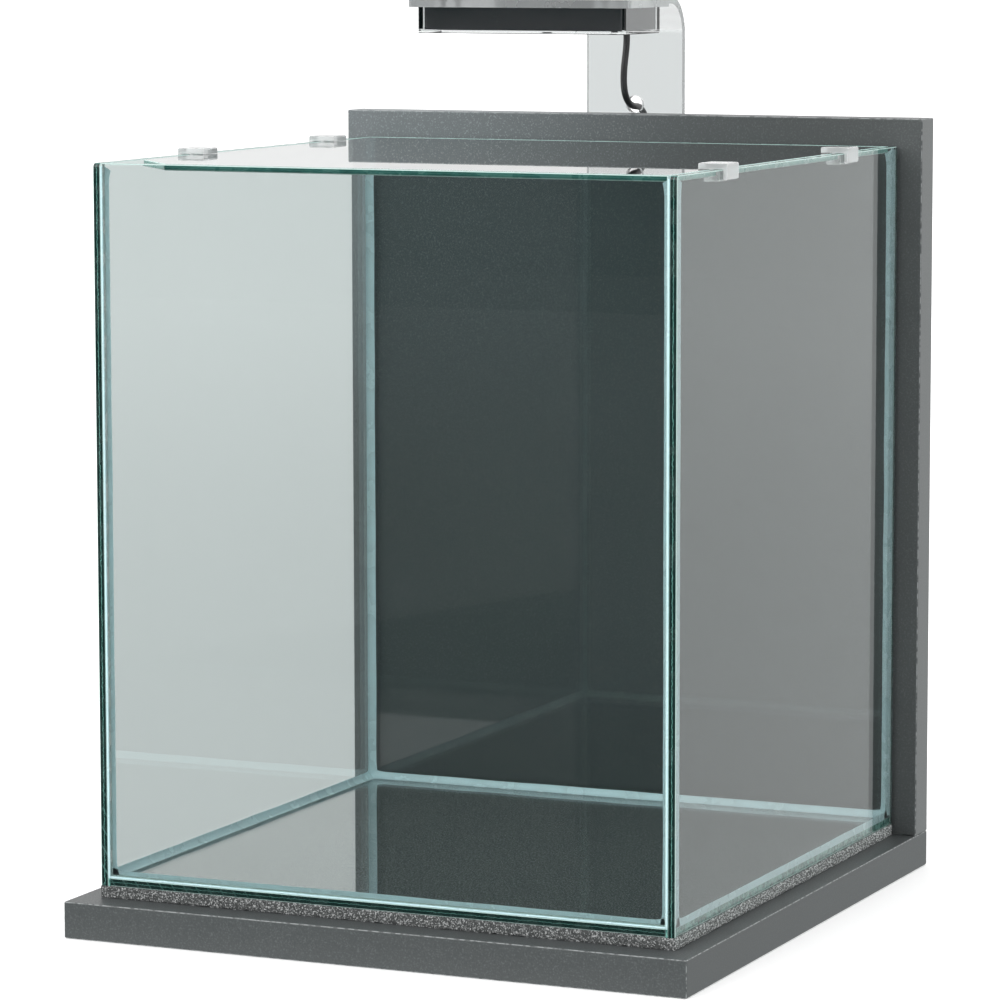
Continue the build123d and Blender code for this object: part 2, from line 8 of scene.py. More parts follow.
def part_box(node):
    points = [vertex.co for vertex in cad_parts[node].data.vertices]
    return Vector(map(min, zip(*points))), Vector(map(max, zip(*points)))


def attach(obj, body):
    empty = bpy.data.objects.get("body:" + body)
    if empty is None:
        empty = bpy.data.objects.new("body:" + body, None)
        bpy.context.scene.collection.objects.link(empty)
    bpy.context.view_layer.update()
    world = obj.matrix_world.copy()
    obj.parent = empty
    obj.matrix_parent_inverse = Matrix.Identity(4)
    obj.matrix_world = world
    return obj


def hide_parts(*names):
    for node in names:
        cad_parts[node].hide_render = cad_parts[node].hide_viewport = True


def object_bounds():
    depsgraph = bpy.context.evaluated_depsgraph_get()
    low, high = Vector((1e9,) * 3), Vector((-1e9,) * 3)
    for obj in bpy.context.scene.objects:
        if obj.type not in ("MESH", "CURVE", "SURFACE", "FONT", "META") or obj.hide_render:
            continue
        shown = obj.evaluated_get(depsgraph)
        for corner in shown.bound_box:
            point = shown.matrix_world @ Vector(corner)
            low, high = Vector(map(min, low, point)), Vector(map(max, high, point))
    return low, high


# The looks of a small rimless glass aquarium on an L-shaped stand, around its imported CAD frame.
# Lengths are metres in the frame of the CAD model: +Z up, +X to the right, +Y to the back.

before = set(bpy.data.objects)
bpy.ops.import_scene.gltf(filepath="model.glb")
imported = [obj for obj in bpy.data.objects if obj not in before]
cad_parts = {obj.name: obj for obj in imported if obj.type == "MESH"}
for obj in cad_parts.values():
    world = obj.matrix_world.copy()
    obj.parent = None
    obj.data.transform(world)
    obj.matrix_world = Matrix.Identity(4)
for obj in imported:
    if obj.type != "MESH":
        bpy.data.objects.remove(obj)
cad_low, cad_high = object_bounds()
mm = 0.001

# ---- camera ----
camera_place = (0.9370, -2.1138, 0.4875)
camera_yaw = radians(24.04)
camera_pitch = radians(7.03)
camera_roll = radians(-0.09)
camera_lens = 168.7
camera_sensor = 36.0


def aim_camera():
    """Makes the camera from its place and its three angles."""
    forward = Vector((-sin(camera_yaw) * cos(camera_pitch), cos(camera_yaw) * cos(camera_pitch),
                      -sin(camera_pitch)))
    level = Vector((cos(camera_yaw), sin(camera_yaw), 0.0))
    above = level.cross(forward)
    across = level * cos(camera_roll) + above * sin(camera_roll)
    upward = above * cos(camera_roll) - level * sin(camera_roll)
    camera = bpy.data.objects.new("camera", bpy.data.cameras.new("camera"))
    camera.data.lens = camera_lens
    camera.data.sensor_width = camera_sensor
    camera.data.clip_end = 100.0
    turn = Matrix((across, upward, -forward)).transposed()
    camera.matrix_world = Matrix.Translation(camera_place) @ turn.to_4x4()
    bpy.context.scene.collection.objects.link(camera)
    bpy.context.scene.camera = camera


aim_camera()

# ---- cord: from the lamp, under the arm, through its hole, down behind the board, into the coil ----
cable_d = 3.5 * mm
lamp_cable_route = [
    (-3.5, 77.5, 439.5),
    (-3.5, 95.0, 439.5),
    (-3.6, 122.0, 437.6),
    (-3.4, 148.5, 441.0),
    (-3.5, 160.5, 431.0),
    (-3.6, 152.2, 405.0),
    (-3.5, 160.0, 391.8),
    (-3.5, 181.0, 391.0),
    (-3.6, 188.5, 380.0),
    (-4.5, 187.0, 356.0),
    (-3.0, 188.5, 312.0),
    (-5.0, 186.5, 262.0),
    (-2.5, 188.5, 212.0),
    (-4.5, 187.0, 162.0),
    (-3.0, 189.0, 112.0),
    (-5.0, 188.0, 68.0),
    (-5.5, 187.0, 38.0),
    (-4.0, 185.5, 16.0),
    (4.5, 180.5, 2.4),
    (15.5, 175.4, 2.2),
    (27.0, 175.0, 2.85),
]
adapter_lead_route = [
    (31.5, 217.0, 13.35),
    (15.5, 217.1, 12.5),
    (-2.0, 194.0, 13.1),
    (-18.0, 194.0, 13.1),
]
coil_centre = (31.5, 196.0)
coil_radii = {"inner": 17.5, "outer": 21.0}
coil_floor = 2.85
coil_layer = 3.5
coil_places = [("outer", 0), ("inner", 0), ("inner", 1), ("outer", 1), ("outer", 2), ("inner", 2),
               ("inner", 3), ("outer", 3)]
coil_whole_turns = 6
coil_enter = -102.0
coil_leave = 90.0 + 360.0 * coil_whole_turns
coil_crossing = 50.0        # degrees over which the cable moves over to its next place in the coil
coil_step = 20.0            # degrees from one control point to the next
curve_pull = (3 + cos(radians(coil_step))) / 4      # the curve runs inside its control points


def coil_place(angle):
    """Radius and height of the coiled cable at an angle: each crossing ends where the last began."""
    to_next = 360.0 - coil_crossing
    place = 0
    share = 0.0
    for crossing in range(1, len(coil_places)):
        start = coil_enter + to_next * crossing
        if angle > start:
            place = crossing
            share = min((angle - start) / coil_crossing, 1.0)
    share = share * share * (3 - 2 * share)
    before, after = coil_places[max(place - 1, 0)], coil_places[place]
    radius = coil_radii[before[0]] * (1 - share) + coil_radii[after[0]] * share
    layer = before[1] * (1 - share) + after[1] * share
    return radius, coil_floor + coil_layer * layer


def coil_route():
    """Control points of the coil's turns, far enough out for the curve to keep its radius."""
    points = []
    angle = coil_enter + coil_step
    while angle < coil_leave - coil_step / 2:
        radius, height = coil_place(angle)
        radius /= curve_pull
        points.append((coil_centre[0] + radius * cos(radians(angle)),
                       coil_centre[1] + radius * sin(radians(angle)), height))
        angle += coil_step
    return points


def make_cord():
    """The whole cord as one smooth spline, from the lamp through the coil to the adapter."""
    route = lamp_cable_route + coil_route() + adapter_lead_route
    line = bpy.data.curves.new("cord", "CURVE")
    line.dimensions = "3D"
    line.bevel_depth = 1.0      # times each point's radius
    line.bevel_resolution = 5
    line.resolution_u = 8
    line.use_fill_caps = True
    spline = line.splines.new("NURBS")
    spline.points.add(len(route) - 1)
    for point, place in zip(spline.points, route):
        point.co = (place[0] * mm, place[1] * mm, place[2] * mm, 1.0)
        point.radius = cable_d / 2
    spline.order_u = 3
    spline.use_endpoint_u = True
    cord = bpy.data.objects.new("cord", line)
    bpy.context.scene.collection.objects.link(cord)
    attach(cord, "root")
    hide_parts("lamp_cable", "cable_coil", "adapter_lead")
    return cord


cord = make_cord()


# ---- shader helpers ----
class Shader:
    """A material whose finish is mixed from procedural nodes, in object coordinates."""

    def __init__(self, name, **sockets):
        self.material = bpy.data.materials.new(name)
        self.material.use_nodes = True
        self.tree = self.material.node_tree
        self.surface = self.tree.nodes["Principled BSDF"]
        self.coordinates = self.tree.nodes.new("ShaderNodeTexCoord")
        self.set(**sockets)

    def set(self, **sockets):
        """Sets the surface's own sockets: base_color=(r, g, b), roughness=0.4."""
        for name, value in sockets.items():
            socket = self.surface.inputs[name.replace("_", " ").title().replace("Ior", "IOR")]
            socket.default_value = (*value, 1.0) if isinstance(value, tuple) else value

    def join(self, value, socket):
        """Links an output, or sets a number or colour, on a socket."""
        if isinstance(value, bpy.types.NodeSocket):
            self.tree.links.new(value, socket)
        elif isinstance(value, tuple) and len(socket.default_value) == 4:
            socket.default_value = (*value, 1.0)
        else:
            socket.default_value = value

    def drive(self, name, value):
        self.join(value, self.surface.inputs[name])

    def place(self, stretch=(1.0, 1.0, 1.0)):
        """Object coordinates, stretched along the axes."""
        mapping = self.tree.nodes.new("ShaderNodeMapping")
        mapping.inputs["Scale"].default_value = stretch
        self.tree.links.new(self.coordinates.outputs["Object"], mapping.inputs["Vector"])
        return mapping.outputs["Vector"]

    def axes(self, source="Object"):
        """The X, Y and Z of the object coordinates, or of the normal."""
        split = self.tree.nodes.new("ShaderNodeSeparateXYZ")
        self.tree.links.new(self.coordinates.outputs[source], split.inputs["Vector"])
        return split.outputs

    def noise(self, size, detail=2.0, roughness=0.5, stretch=(1.0, 1.0, 1.0)):
        """Noise whose features are about size metres across."""
        texture = self.tree.nodes.new("ShaderNodeTexNoise")
        texture.inputs["Scale"].default_value = 1.0 / size
        texture.inputs["Detail"].default_value = detail
        texture.inputs["Roughness"].default_value = roughness
        self.tree.links.new(self.place(stretch), texture.inputs["Vector"])
        return texture.outputs["Fac"]

    def cells(self, size, stretch=(1.0, 1.0, 1.0)):
        """Cells about size metres across: the distance to each one's middle."""
        texture = self.tree.nodes.new("ShaderNodeTexVoronoi")
        texture.inputs["Scale"].default_value = 1.0 / size
        self.tree.links.new(self.place(stretch), texture.inputs["Vector"])
        return texture.outputs["Distance"]

    def math(self, operation, first, second=0.0):
        step = self.tree.nodes.new("ShaderNodeMath")
        step.operation = operation
        self.join(first, step.inputs[0])
        self.join(second, step.inputs[1])
        return step.outputs[0]

    def times(self, first, second):
        return self.math("MULTIPLY", first, second)

    def magnitude(self, value):
        return self.math("ABSOLUTE", value)

    def largest(self, first, *others):
        """The largest of several values."""
        for other in others:
            first = self.math("MAXIMUM", first, other)
        return first

    def between(self, value, low, high, start=0.0, end=1.0):
        """Maps value from low..high to start..end, smoothly."""
        ramp = self.tree.nodes.new("ShaderNodeMapRange")
        ramp.interpolation_type = "SMOOTHSTEP"
        for socket, number in zip(("Value", "From Min", "From Max", "To Min", "To Max"),
                                  (value, low, high, start, end)):
            self.join(number, ramp.inputs[socket])
        return ramp.outputs["Result"]

    def mix(self, share, first, second):
        """A colour from first to second."""
        blend = self.tree.nodes.new("ShaderNodeMix")
        blend.data_type = "RGBA"
        self.join(share, blend.inputs["Factor"])
        colours = [socket for socket in blend.inputs if socket.type == "RGBA"]
        self.join(first, colours[0])
        self.join(second, colours[1])
        return next(socket for socket in blend.outputs if socket.type == "RGBA")

    def bump(self, height, depth, strength=1.0):
        """Relief depth metres deep."""
        relief = self.tree.nodes.new("ShaderNodeBump")
        relief.inputs["Strength"].default_value = strength
        relief.inputs["Distance"].default_value = depth
        self.tree.links.new(height, relief.inputs["Height"])
        self.tree.links.new(relief.outputs["Normal"], self.surface.inputs["Normal"])


def paint(material, *names):
    """Gives a material to every slot of CAD nodes or pieces."""
    for name in names:
        piece = bpy.data.objects[name]
        if not piece.data.materials:
            piece.data.materials.append(material)
        for slot in range(len(piece.data.materials)):
            piece.data.materials[slot] = material


# ---- board: dark grey melamine with a fine grain and slightly worn edges, and painted sheen on the back board ----
board_dark = (0.044, 0.050, 0.051)
board_light = (0.092, 0.101, 0.102)
board_clouded = (0.058, 0.063, 0.064)
# painted sheen on the back board's upper left, and the flecks that glint in it
board_painted_sheen = (0.19, 0.215, 0.225)
board_glinting_fleck = (0.29, 0.325, 0.33)
board_end_sheen = (0.30, 0.31, 0.31)     # painted sheen on the ends that face +X and -X
board_worn = (0.34, 0.36, 0.36)
sheen_x = (0.13, -0.15)     # the painted sheen fades in from the first place to the second
sheen_z = (0.16, 0.38)
sheen_share = 0.74
end_sheen_share = 0.28
wear_share = 0.8


def board_material(name, painted_sheen):
    """Melamine. The last argument is how far painted sheen with glinting flecks lightens its upper left
    part and its ends, from 0 to 1.
    """
    board = Shader(name, roughness=0.42, ior=1.5)
    place = board.axes()
    # Painted sheen: the back board's upper left is lightened as if by a highlight, with flecks glinting
    # only inside it.
    sheen = board.times(board.between(place[0], *sheen_x), board.between(place[2], *sheen_z))
    sheen = board.times(sheen, painted_sheen)
    grain = board.noise(0.9 * mm, detail=3.0, roughness=0.65)
    cloud = board.between(board.noise(60 * mm, detail=2.0), 0.35, 0.65, 0.0, 0.25)
    glinting_fleck = board.between(board.noise(0.9 * mm, detail=2.0), 0.54, 0.70)
    glinting_fleck = board.times(glinting_fleck, board.between(sheen, 0.0, 1.0, 0.10, 0.75))
    tilt = [board.magnitude(part) for part in board.axes("Normal")]
    corner = board.between(board.largest(*tilt), 0.97, 0.80)
    wear = board.times(corner, board.between(board.noise(3 * mm, detail=4.0), 0.38, 0.58))
    # Painted sheen on the ends that face +X and -X, on the back board alone.
    end_sheen = board.times(board.between(tilt[0], 0.90, 0.98), end_sheen_share * painted_sheen)
    ground = board.mix(grain, board_dark, board_light)
    ground = board.mix(cloud, ground, board_clouded)
    ground = board.mix(board.times(sheen, sheen_share), ground, board_painted_sheen)
    ground = board.mix(glinting_fleck, ground, board_glinting_fleck)
    ground = board.mix(end_sheen, ground, board_end_sheen)
    board.drive("Base Color", board.mix(board.times(wear, wear_share), ground, board_worn))
    board.drive("Roughness", board.between(grain, 0.3, 0.7, 0.34, 0.52))
    board.bump(grain, 0.06 * mm)
    return board.material


paint(board_material("board_base", 0.0), "base_board")
paint(board_material("board_back", 1.0), "back_board")


# ---- glass: clear through the broad faces, green through the ground ends ----
pane = 4.0 * mm
glass_tint = (0.950, 0.985, 0.978)
# frosted ground arris, lightened further as a painted highlight
ground_edge_and_highlight = (0.66, 0.86, 0.82)
dark_green = (0.003, 0.017, 0.014)
deep_teal = (0.035, 0.15, 0.125)
pale_teal = (0.20, 0.46, 0.41)
bonded = (0.60, 0.80, 0.82)     # an end with silicone against it
waver_size = 2.2 * mm
waver_depth = 1.7 * mm
line_outside = 0.20 * mm
line_inside = 0.06 * mm
mark_pitch = 6.6 * mm
mark_slant = 0.7
mark_share = 0.4
marked_x = (-0.02, -0.12)       # the marks fade in from the first place to the second
marked_z = (0.09, 0.03)
side_chip_share = 0.7
chip_share = 0.3
arris_highlight_share = 0.75
end_opacity = 0.92


def ground_line(glass, place, across, middle):
    """A wavering line along the middle of an end's thickness."""
    offset = glass.math("SUBTRACT", glass.magnitude(place[across]), middle)
    rough = glass.noise(waver_size, detail=6.0, roughness=0.7)
    waver = glass.times(glass.math("SUBTRACT", rough, 0.5), waver_depth)
    return glass.between(glass.magnitude(glass.math("ADD", offset, waver)), line_outside, line_inside)


def slanted_marks(glass, place):
    """Slanted grinding marks, on the tank's lower left part alone."""
    slanted = glass.math("ADD", place[0], glass.times(place[2], mark_slant))
    phase = glass.math("FRACT", glass.math("DIVIDE", slanted, mark_pitch))
    mark = glass.between(glass.magnitude(glass.math("SUBTRACT", phase, 0.5)), 0.40, 0.47)
    marked = glass.times(glass.between(place[0], *marked_x), glass.between(place[2], *marked_z))
    return glass.times(mark, glass.times(marked, mark_share))


def glass_material(name, broad, across, middle, front, rim):
    """Float glass. broad is the axis of the broad faces, across the axis over an end's thickness."""
    glass = Shader(name, ior=1.52, transmission_weight=1.0)
    place = glass.axes()
    normal = glass.axes("Normal")
    broadly = glass.magnitude(normal[broad])
    edge = glass.between(broadly, 0.98, 0.90)
    facing = glass.between(glass.magnitude(normal[0 if broad == 1 else 1]), 0.5, 0.8)
    chip = glass.largest(ground_line(glass, place, across, middle), slanted_marks(glass, place))
    shade = glass.between(glass.noise(9 * mm, detail=3.0), 0.35, 0.65)
    along = glass.mix(shade, front, tuple(min(value * 1.5, 0.9) for value in front))
    share = side_chip_share if broad == 0 else chip_share
    along = glass.mix(glass.times(chip, share), along, pale_teal)
    tops = glass.mix(shade, rim, tuple(value * 0.8 for value in rim))
    # The ground arris is lightened partly as frosted glass and partly as a painted highlight.
    arris = glass.times(edge, glass.between(broadly, 0.35, 0.60))
    ends = glass.mix(glass.times(arris, arris_highlight_share), glass.mix(facing, tops, along), ground_edge_and_highlight)
    glass.drive("Base Color", glass.mix(edge, glass_tint, ends))
    glass.drive("Transmission Weight", glass.math("SUBTRACT", 1.0, glass.times(edge, end_opacity)))
    glass.drive("Roughness", glass.times(edge, glass.between(shade, 0.0, 1.0, 0.10, 0.30)))
    return glass.material


def pane_middle(name, axis):
    """Half-thickness middle of a pane, as a distance from the frame's origin along an axis."""
    low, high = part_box(name)
    return abs(low[axis] + high[axis]) / 2


paint(glass_material("glass_side", 0, 0, pane_middle("right_glass", 0), dark_green, deep_teal),
      "left_glass", "right_glass")
paint(glass_material("glass_front", 1, 1, pane_middle("front_glass", 1), bonded, deep_teal),
      "front_glass")
paint(glass_material("glass_back", 1, 1, pane_middle("back_glass", 1), bonded, pale_teal),
      "back_glass")
paint(glass_material("glass_bottom", 2, 2, pane_middle("bottom_glass", 2), dark_green, bonded),
      "bottom_glass")
paint(glass_material("glass_lid", 2, 2, pane_middle("lid_glass", 2), deep_teal, pale_teal),
      "lid_glass")


# ---- clear acrylic: lamp arm, lamp cover and lid clips ----
arm_tint = (0.87, 0.885, 0.885)
cover_tint = (0.93, 0.94, 0.94)
clip_tint = (0.95, 0.965, 0.965)
clip_milky = 0.32
cut_dark = (0.60, 0.63, 0.63)
cut_light = (0.78, 0.81, 0.81)
cut_shaded = (0.20, 0.205, 0.21)
cut_opacity = 0.55
cut_roughness = 0.25
shaded_share = 0.75
head_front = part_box("lamp_arm")[0].y
head_rim = 0.5 * mm


def acrylic_material(name, tint, milky=0.0):
    """Clear acrylic, faintly uneven, with hazy patches."""
    clear = Shader(name, ior=1.49, base_color=tint, transmission_weight=1.0 - milky)
    clear.drive("Roughness", acrylic_haze(clear))
    acrylic_relief(clear)
    return clear.material


def acrylic_haze(clear):
    return clear.between(clear.noise(14 * mm, detail=4.0), 0.45, 0.75, 0.0, 0.06)


def acrylic_relief(clear):
    clear.bump(clear.noise(22 * mm, detail=1.0), 0.05 * mm, 0.4)


def arm_material():
    """Clear acrylic with saw-cut rims, paler than its faces at the sides and shaded at the head's front."""
    clear = Shader("acrylic_arm", ior=1.49)
    normal = clear.axes("Normal")
    side_rim = clear.between(clear.magnitude(normal[0]), 0.7, 0.9)
    ahead = clear.between(clear.axes()[1], head_front + head_rim + 1 * mm, head_front + head_rim)
    front_rim = clear.times(ahead, clear.between(clear.magnitude(normal[1]), 0.7, 0.9))
    rim = clear.largest(side_rim, front_rim)
    saw = clear.noise(0.6 * mm, detail=2.0, stretch=(1.0, 1.0, 0.2))
    cut = clear.mix(clear.times(ahead, shaded_share), clear.mix(saw, cut_dark, cut_light), cut_shaded)
    clear.drive("Base Color", clear.mix(rim, arm_tint, cut))
    clear.drive("Transmission Weight", clear.math("SUBTRACT", 1.0, clear.times(rim, cut_opacity)))
    clear.drive("Roughness", clear.math("ADD", acrylic_haze(clear), clear.times(rim, cut_roughness)))
    acrylic_relief(clear)
    return clear.material


clips = [f"clip_{side}_{place}" for side in ("left", "right") for place in ("front", "back")]
paint(arm_material(), "lamp_arm")
paint(acrylic_material("acrylic_cover", cover_tint), "lamp_cover")
paint(acrylic_material("acrylic_clip", clip_tint, clip_milky), *clips)


# ---- lamp: black block, circuit board, light sources ----
gloss_dark = (0.052, 0.047, 0.050)
gloss_light = (0.076, 0.070, 0.074)
circuit_dark = (0.62, 0.63, 0.61)
circuit_light = (0.74, 0.75, 0.73)
circuit_solder = (0.55, 0.50, 0.38)
solder_share = 0.35
phosphor_dark = (0.85, 0.68, 0.20)
phosphor_light = (0.95, 0.82, 0.38)


def gloss_material():
    """The lamp's black block: glossy, finely speckled."""
    gloss = Shader("black_gloss", roughness=0.16, ior=1.5)
    speck = gloss.noise(0.5 * mm, detail=2.0)
    gloss.drive("Base Color", gloss.mix(speck, gloss_dark, gloss_light))
    gloss.drive("Roughness", gloss.between(gloss.noise(25 * mm, detail=3.0), 0.3, 0.7, 0.10, 0.24))
    gloss.bump(speck, 0.01 * mm, 0.3)
    return gloss.material


def circuit_material():
    """White circuit board, faintly woven, with tinned patches."""
    circuit = Shader("circuit_board", roughness=0.45)
    mask = circuit.between(circuit.cells(5.2 * mm), 0.32, 0.36)
    weave = circuit.noise(0.7 * mm, detail=2.0)
    ground = circuit.mix(weave, circuit_dark, circuit_light)
    circuit.drive("Base Color", circuit.mix(circuit.times(mask, solder_share), ground, circuit_solder))
    circuit.drive("Roughness", circuit.between(weave, 0.3, 0.7, 0.35, 0.55))
    circuit.bump(mask, 0.04 * mm)
    return circuit.material


def lens_material():
    """Yellow phosphor under a clear lens."""
    lens = Shader("led_lens", roughness=0.2, ior=1.45)
    phosphor = lens.noise(0.4 * mm, detail=3.0)
    lens.drive("Base Color", lens.mix(phosphor, phosphor_dark, phosphor_light))
    lens.drive("Roughness", lens.between(phosphor, 0.3, 0.7, 0.12, 0.35))
    return lens.material


# ---- steel, wood, rubber and plastic ----
steel_dark = (0.50, 0.50, 0.49)
steel_light = (0.68, 0.68, 0.67)
wood_dark = (0.42, 0.27, 0.14)
wood_light = (0.68, 0.50, 0.30)
jacket_dark = (0.008, 0.008, 0.009)
jacket_light = (0.022, 0.022, 0.024)
rubber_dark = (0.012, 0.012, 0.012)
rubber_light = (0.034, 0.034, 0.035)
plastic_dark = (0.010, 0.010, 0.011)
plastic_light = (0.028, 0.028, 0.030)


def steel_material():
    """Turned steel."""
    steel = Shader("steel", metallic=1.0, roughness=0.3)
    turned = steel.noise(0.8 * mm, detail=4.0, stretch=(1.0, 6.0, 1.0))
    steel.drive("Base Color", steel.mix(turned, steel_dark, steel_light))
    steel.drive("Roughness", steel.between(turned, 0.3, 0.7, 0.2, 0.42))
    steel.bump(turned, 0.015 * mm, 0.5)
    return steel.material


def wood_material():
    """Pale wood with its grain along Z."""
    wood = Shader("dowel_wood", roughness=0.6)
    grain = wood.noise(1.2 * mm, detail=4.0, stretch=(1.0, 1.0, 0.08))
    wood.drive("Base Color", wood.mix(grain, wood_dark, wood_light))
    wood.drive("Roughness", wood.between(grain, 0.3, 0.7, 0.5, 0.75))
    wood.bump(grain, 0.1 * mm)
    return wood.material


def jacket_material():
    """The cord's black jacket."""
    jacket = Shader("cable_jacket", roughness=0.38, ior=1.5)
    skin = jacket.noise(1.1 * mm, detail=3.0)
    jacket.drive("Base Color", jacket.mix(skin, jacket_dark, jacket_light))
    jacket.drive("Roughness", jacket.between(skin, 0.3, 0.7, 0.28, 0.46))
    jacket.bump(skin, 0.02 * mm, 0.5)
    return jacket.material


def rubber_material():
    """Dull black rubber."""
    rubber = Shader("black_rubber", roughness=0.65)
    skin = rubber.noise(0.6 * mm, detail=3.0)
    rubber.drive("Base Color", rubber.mix(skin, rubber_dark, rubber_light))
    rubber.drive("Roughness", rubber.between(skin, 0.3, 0.7, 0.5, 0.8))
    rubber.bump(skin, 0.08 * mm)
    return rubber.material


def plastic_material():
    """The adapter's black plastic."""
    plastic = Shader("black_plastic", roughness=0.5, ior=1.5)
    spark = plastic.noise(0.45 * mm, detail=2.0)
    plastic.drive("Base Color", plastic.mix(spark, plastic_dark, plastic_light))
    plastic.drive("Roughness", plastic.between(spark, 0.3, 0.7, 0.42, 0.6))
    plastic.bump(spark, 0.06 * mm)
    return plastic.material


paint(gloss_material(), "lamp_body")
paint(circuit_material(), "led_board", "adapter_board")
paint(lens_material(), "leds")
paint(steel_material(), "joining_screws", "lamp_screws", "arm_screws", "arm_washers", "adapter_pins")
paint(wood_material(), "joining_dowels")
paint(jacket_material(), "cord")
paint(rubber_material(), "cable_gland", "coil_tie", "adapter_relief")
paint(plastic_material(), "adapter_rear_shell", "adapter_front_shell")


# ---- mesh helpers ----
sharp_angle = radians(40)


def new_piece(name, points, faces, body, material):
    """A mesh object in the frame, riding on a body, smooth but for its sharp edges."""
    mesh = bpy.data.meshes.new(name)
    mesh.from_pydata(points, [], faces)
    solid = bmesh.new()
    solid.from_mesh(mesh)
    bmesh.ops.recalc_face_normals(solid, faces=solid.faces)
    solid.to_mesh(mesh)
    solid.free()
    mesh.polygons.foreach_set("use_smooth", [True] * len(mesh.polygons))
    mesh.set_sharp_from_angle(angle=sharp_angle)
    mesh.materials.append(material)
    piece = bpy.data.objects.new(name, mesh)
    bpy.context.scene.collection.objects.link(piece)
    if body:
        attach(piece, body)
    return piece


def tube_faces(rows, size):
    """Faces of a closed tube of rows rings with size points each, with an end face at both ends."""
    faces = []
    for row in range(rows - 1):
        near, far = row * size, (row + 1) * size
        for k in range(size):
            after = (k + 1) % size
            faces.append((near + k, near + after, far + after, far + k))
    faces.append(tuple(range(size - 1, -1, -1)))
    faces.append(tuple(range((rows - 1) * size, rows * size)))
    return faces


def wander(place, size, seed):
    """Smooth noise from -1 to 1 over features about size metres across."""
    return noise.noise(Vector(place) / size + Vector((seed, 2.3 * seed, -seed)))


# ---- silicone: a film between two panes, squeezed out at its mouth, and a fillet inside ----
bond = 0.8 * mm
seam_leg = 3.4 * mm
glass_clear = 0.03 * mm
seam_arc_steps = 7
seam_section_points = seam_arc_steps + 5
seam_station = 2.0 * mm
flare_reach = 9 * mm            # the fillet widens over this length towards its ends
flare_share = 0.45
leg_wander = 0.07
leg_pane_wave = 30 * mm
leg_side_wave = 26 * mm
squeezed_out = 0.12 * mm
squeeze_wander = 1.6
squeeze_wave = 11 * mm
upright_seed = 5                # times the side, plus the way that the seam faces
bottom_side_seed = 11
bottom_end_seed = 17
leg_side_seed = 7
squeeze_seed = 3
silicone_pale = (0.76, 0.97, 1.0)
silicone_blue = (0.59, 0.86, 0.91)
film_dark = (0.03, 0.17, 0.14)
film_light = (0.26, 0.58, 0.51)
tank_low, tank_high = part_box("bottom_glass")
inner_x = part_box("right_glass")[0].x
inner_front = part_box("front_glass")[1].y
inner_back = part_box("back_glass")[0].y
floor_z = tank_high.z
pane_x = tank_high.x
tank_front, tank_back = tank_low.y, tank_high.y
seam_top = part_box("seam_front_right")[1].z


def silicone_material():
    """Pale bluish silicone, showing the green end of the bottom pane where it is only a film."""
    silicone = Shader("silicone", ior=1.41)
    cloud = silicone.noise(14 * mm, detail=3.0)
    film = silicone.between(silicone.axes()[2], floor_z - 0.1 * mm, floor_z - 0.5 * mm)
    patch = silicone.between(silicone.noise(3 * mm, detail=5.0, roughness=0.7), 0.42, 0.60)
    body = silicone.mix(cloud, silicone_blue, silicone_pale)
    green = silicone.mix(patch, film_dark, film_light)
    silicone.drive("Base Color", silicone.mix(film, body, green))
    silicone.drive("Transmission Weight", silicone.between(cloud, 0.3, 0.7, 0.02, 0.14))
    silicone.drive("Roughness", silicone.between(cloud, 0.3, 0.7, 0.18, 0.32))
    return silicone.material


def seam_section(leg_pane, leg_side, squeeze):
    """The seam's outline: (along the pane's inner face, along the other face), from the corner."""
    near = glass_clear
    outline = []
    for step in range(seam_arc_steps + 1):
        turn = pi / 2 * step / seam_arc_steps
        outline.append((near + leg_pane * (1 - cos(turn)), near + leg_side * (1 - sin(turn))))
    outline += [(bond - near, near), (bond - near, -pane), (bond / 2, -pane - squeeze), (near, -pane)]
    return outline


def silicone_seam(name, start, end, along_pane, along_side, seed, inside, material):
    """A seam from start to end along an inner corner. inside is the stretch that has a fillet."""
    start, end = Vector(start), Vector(end)
    along_pane, along_side = Vector(along_pane), Vector(along_side)
    length = (end - start).length
    count = max(2, round(length / seam_station))
    points = []
    for station in range(count + 1):
        run = length * station / count
        corner = start + (end - start) * (run / length)
        if inside[0] <= run <= inside[1]:
            from_end = min(run - inside[0], inside[1] - run)
            flare = 1.0 + flare_share * max(0.0, 1.0 - from_end / flare_reach) ** 2
            leg_pane = seam_leg * flare * (1 + leg_wander * wander(corner, leg_pane_wave, seed))
            side_seed = seed + leg_side_seed
            leg_side = seam_leg * flare * (1 + leg_wander * wander(corner, leg_side_wave, side_seed))
        else:
            leg_pane = leg_side = bond
        squeeze = squeezed_out * (1 + squeeze_wander * wander(corner, squeeze_wave, seed + squeeze_seed))
        outline = seam_section(leg_pane, leg_side, max(0.0, squeeze))
        points += [corner + along_pane * a + along_side * b for a, b in outline]
    faces = tube_faces(count + 1, seam_section_points)
    seam = new_piece(name.replace("seam", "silicone"), points, faces, "tank", material)
    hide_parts(name)
    return seam


def make_silicone():
    """The eight seams of the tank."""
    material = silicone_material()
    for side, side_name in ((-1, "left"), (1, "right")):
        for way, place, inner_y in ((1, "front", inner_front), (-1, "back", inner_back)):
            start = (side * inner_x, inner_y, floor_z)
            end = (side * inner_x, inner_y, seam_top)
            silicone_seam(f"seam_{place}_{side_name}", start, end, (-side, 0, 0), (0, way, 0),
                          upright_seed * side + way, (0.0, seam_top - floor_z), material)
        start = (side * inner_x, tank_front, floor_z)
        end = (side * inner_x, tank_back, floor_z)
        silicone_seam(f"seam_bottom_{side_name}", start, end, (-side, 0, 0), (0, 0, 1),
                      bottom_side_seed + side, (inner_front - tank_front, inner_back - tank_front),
                      material)
    for way, place, inner_y in ((1, "front", inner_front), (-1, "back", inner_back)):
        start = (-pane_x, inner_y, floor_z)
        end = (pane_x, inner_y, floor_z)
        silicone_seam(f"seam_bottom_{place}", start, end, (0, 0, 1), (0, way, 0),
                      bottom_end_seed + way, (0.0, 2 * pane_x), material)


make_silicone()


